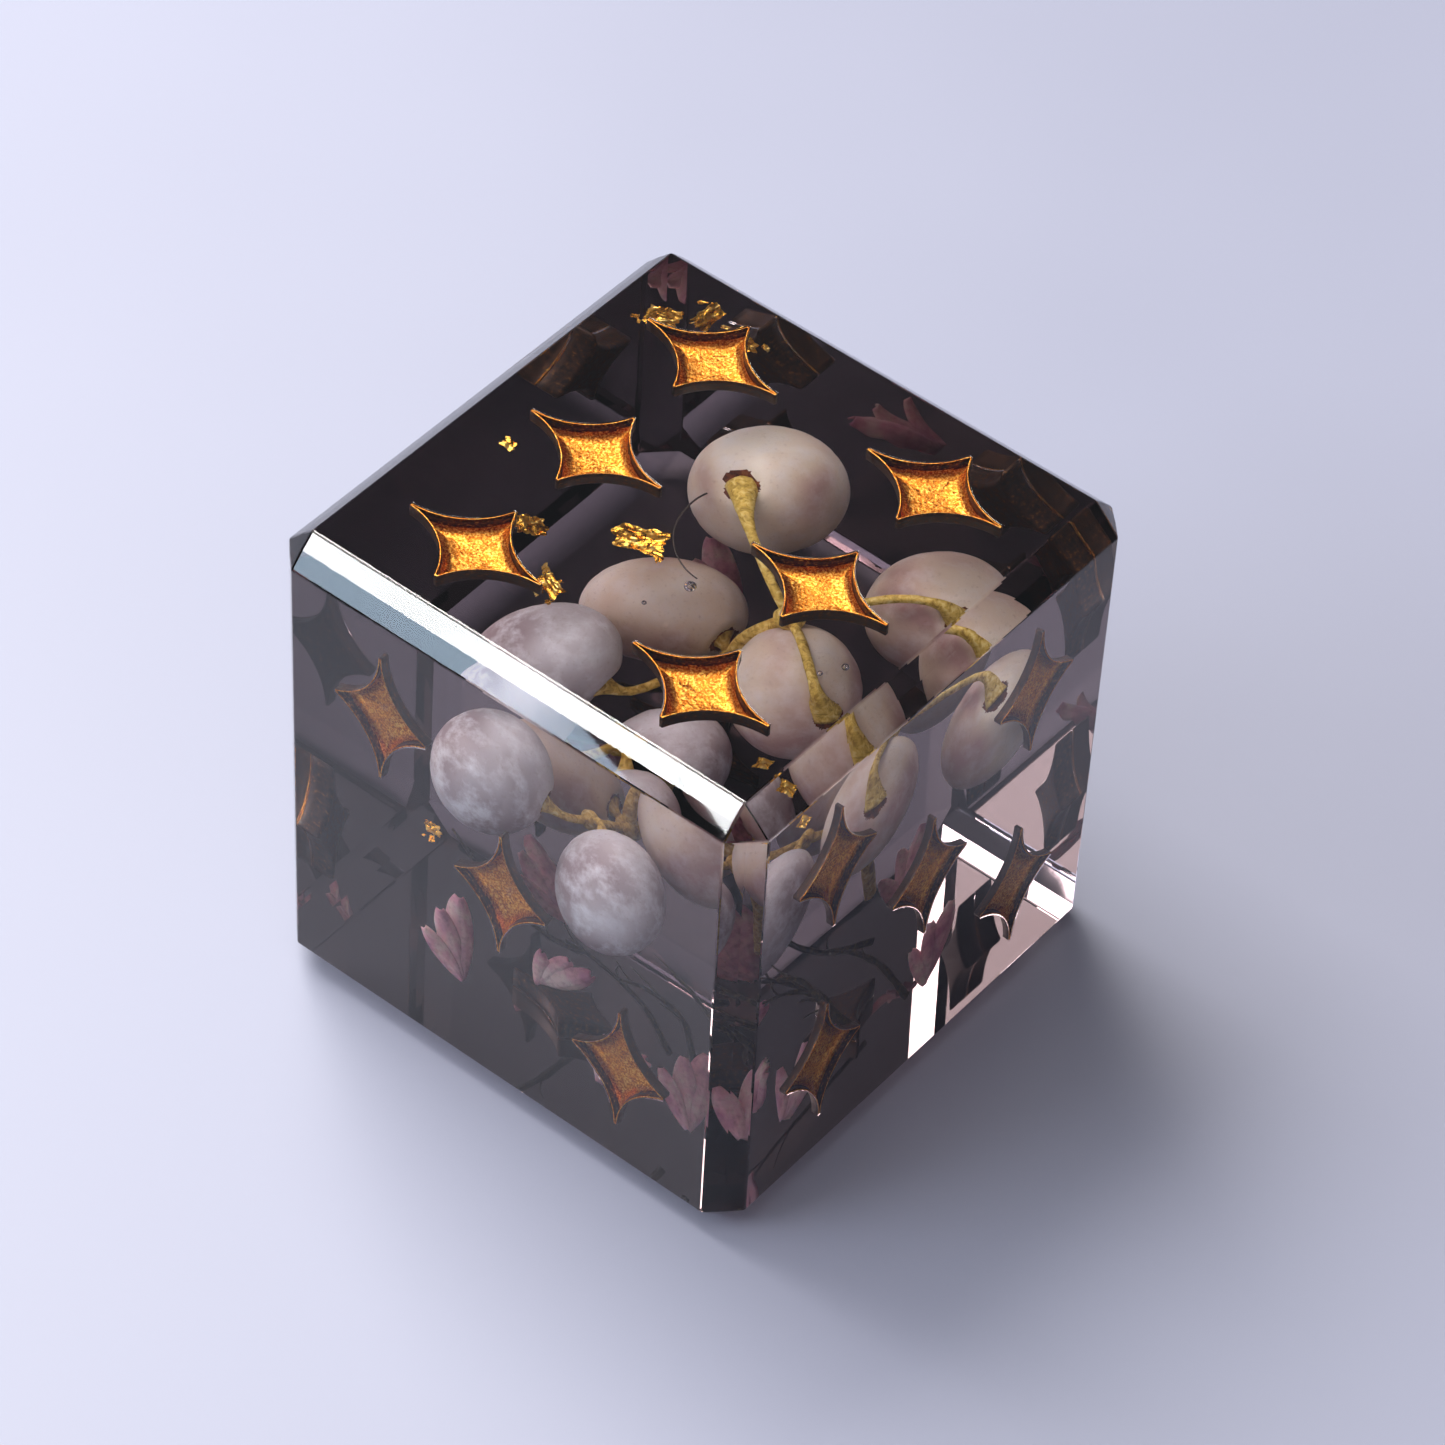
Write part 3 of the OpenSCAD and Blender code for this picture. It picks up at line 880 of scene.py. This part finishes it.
def petal_sheet(length, seed, lean):
    """The grid of one petal with its foot at the origin, turned about its foot in its own plane."""
    rows, columns = 30, 15
    grid = []
    for i in range(rows):
        u = i / (rows - 1)
        width = length * 0.17 * (math.sin(math.pi * (0.05 + 0.92 * u)) ** 0.6) * (0.8 + 0.3 * u)
        row = []
        for j in range(columns):
            v = 2 * j / (columns - 1) - 1
            curl = -0.10 * length * v * v + 0.16 * length * math.sin(2.6 * u + seed) * u
            veins = 0.012 * MM * math.cos(v * 14 + 3 * u)
            p = Vector((v * width, u * length, curl + veins))
            ruffle = 0.05 * length * abs(v) ** 2 * wobble(p, 0.5 * MM, seed)
            row.append(turned((0, 0, lean)) @ (p + Vector((0, 0, ruffle))))
        grid.append(row)
    return grid


def build_petal(letter, material):
    """A fan of dried petals on one foot: curled, with ruffled edges and shallow veins."""
    turn, share = PETALS[letter]
    length = PETAL_LENGTH * share
    matrix = turned(turn)
    centre = middle("petal_" + letter)
    bm = bmesh.new()
    for i, lean in enumerate(PETAL_LEANS):
        grid = petal_sheet(length * (1 - PETAL_SHRINK * i), ord(letter) * 2.3 + i, lean)
        lift = Vector((0, -length / 2, PETAL_LIFT * i))
        closed_sheet(bm, [[centre + matrix @ (p + lift) for p in row] for row in grid], PETAL_SKIN)
    bmesh.ops.recalc_face_normals(bm, faces=bm.faces[:])
    piece("petal_" + letter + "_looks", bm, [material], ["petal_" + letter])


def add_shard(bm, centre, matrix, width, seed):
    """One torn, crumpled shard of leaf."""
    rng = random.Random(seed)
    steps = 16
    skew = rng.uniform(0.55, 0.8)
    notch = [rng.uniform(0.7, 1.0) for _ in range(4)]
    grid = []
    for i in range(steps):
        row = []
        for j in range(steps):
            u, v = 2 * i / (steps - 1) - 1, 2 * j / (steps - 1) - 1
            edge = max(abs(u), abs(v))
            tear = 1 + 0.35 * edge ** 3 * noise.noise(Vector((u * 2.2, v * 2.2, seed)))
            tear *= 1 - (1 - notch[(u > 0) * 2 + (v > 0)]) * edge ** 2
            fold = 0.16 * noise.noise(Vector((u * 1.6, v * 1.6, seed + 4)))
            fold += 0.06 * noise.noise(Vector((u * 5, v * 5, seed + 8)))
            row.append(centre + matrix @ (Vector((u * tear, v * tear * skew, fold)) * width / 2))
        grid.append(row)
    closed_sheet(bm, grid, LEAF_SKIN)


def build_flake(letter, material):
    """A flake of gold leaf with smaller shards scattered beside it."""
    turn, width, extra, scatter = FLAKES[letter]
    node = "gold_flake_" + letter
    rng = random.Random(node)
    bm = bmesh.new()
    centre = middle(node)
    add_shard(bm, centre, turned(turn), width * MM, ord(letter))
    for i in range(extra):
        aside = Vector((rng.uniform(-1, 1), rng.uniform(-1, 1), rng.uniform(-0.5, 0.0))) * scatter * MM
        twist = [rng.uniform(-60, 60), rng.uniform(-60, 60), rng.uniform(0, 180)]
        shard = rng.uniform(0.14, 0.42) * MM
        add_shard(bm, centre + aside, turned(twist), shard, ord(letter) + 20 * (i + 1))
    bmesh.ops.recalc_face_normals(bm, faces=bm.faces[:])
    piece(node + "_looks", bm, [material], [node], smooth=False)


# The studio

def build_floor():
    bm = bmesh.new()
    z = LOW.z - FLOOR_GAP
    bm.faces.new([bm.verts.new((CENTRE.x + x * FLOOR_REACH, CENTRE.y + y * FLOOR_REACH, z))
                  for x, y in ((-1, -1), (1, -1), (1, 1), (-1, 1))])
    mesh = bpy.data.meshes.new("floor")
    bm.to_mesh(mesh)
    bm.free()
    mesh.materials.append(floor_material())
    floor = bpy.data.objects.new("floor", mesh)
    bpy.context.collection.objects.link(floor)


def area_light(name, direction, distance, width, height, power, colour):
    """A soft box that looks at the die from a direction, at a distance given in halves of it."""
    light = bpy.data.lights.new(name, "AREA")
    light.shape = "RECTANGLE"
    light.size = width * HALF
    light.size_y = height * HALF
    light.energy = power * (HALF / 0.008) ** 2
    light.color = colour
    lamp = bpy.data.objects.new(name, light)
    towards = Vector(direction).normalized()
    lamp.location = CENTRE + towards * distance * HALF
    lamp.rotation_mode = "QUATERNION"
    lamp.rotation_quaternion = towards.to_track_quat("Z", "Y")
    bpy.context.collection.objects.link(lamp)


def build_lights():
    for name, box in LIGHTS.items():
        area_light(name, *box)
    world = bpy.data.worlds.new("studio")
    world.use_nodes = True
    background = world.node_tree.nodes["Background"]
    background.inputs["Color"].default_value = WORLD_COLOUR
    background.inputs["Strength"].default_value = WORLD_STRENGTH
    bpy.context.scene.world = world
    bpy.context.scene.view_settings.view_transform = "Standard"


def build_camera():
    azimuth, elevation = math.radians(CAMERA_AZIMUTH), math.radians(CAMERA_ELEVATION)
    roll = math.radians(CAMERA_ROLL)
    flat = Vector((math.sin(azimuth), -math.cos(azimuth), 0))
    back = flat * math.cos(elevation) + Vector((0, 0, math.sin(elevation)))
    level = Vector((math.cos(azimuth), math.sin(azimuth), 0))
    upright = back.cross(level)
    right = level * math.cos(roll) + upright * math.sin(roll)
    up = upright * math.cos(roll) - level * math.sin(roll)
    data = bpy.data.cameras.new("camera")
    data.lens = CAMERA_LENS
    data.sensor_width = SENSOR_WIDTH
    data.clip_start = 0.1 * HALF
    data.clip_end = 400 * HALF
    camera = bpy.data.objects.new("camera", data)
    place = CENTRE + (back * CAMERA_DISTANCE + right * CAMERA_ASIDE[0] + up * CAMERA_ASIDE[1]) * MM
    turn = Matrix((right, up, back)).transposed().to_4x4()
    camera.matrix_world = Matrix.Translation(place) @ turn
    bpy.context.collection.objects.link(camera)
    bpy.context.scene.camera = camera


def build_die():
    pips = all_pips()
    build_body(pips, resin_material())
    paints = [paint_material(), paint_back_material(), shaded_wall_paint_material()]
    for i, pip in enumerate(pips):
        build_paint(pip, paints, 1.7 * i)
    cream = (srgb(190, 156, 150), srgb(230, 214, 192), srgb(254, 246, 230))
    grey = (srgb(176, 160, 166), srgb(208, 202, 206), srgb(236, 236, 242))
    smooth_skin = berry_material("berry_skin", cream, 0.3)
    frosted_skin = berry_material("frosted_berry_skin", grey, 0.9)
    pit = pit_material()
    for letter in BERRIES:
        build_berry(letter, [frosted_skin if letter in FROSTED else smooth_skin, pit])
    build_sprig(stalk_material())
    petal = petal_material()
    for letter in PETALS:
        build_petal(letter, petal)
    twig = twig_material()
    for letter in TWIGS:
        build_twig(letter, twig)
    leaf = leaf_material()
    for letter in FLAKES:
        build_flake(letter, leaf)
    build_fibre(fibre_material())


build_die()
build_floor()
build_lights()
build_camera()
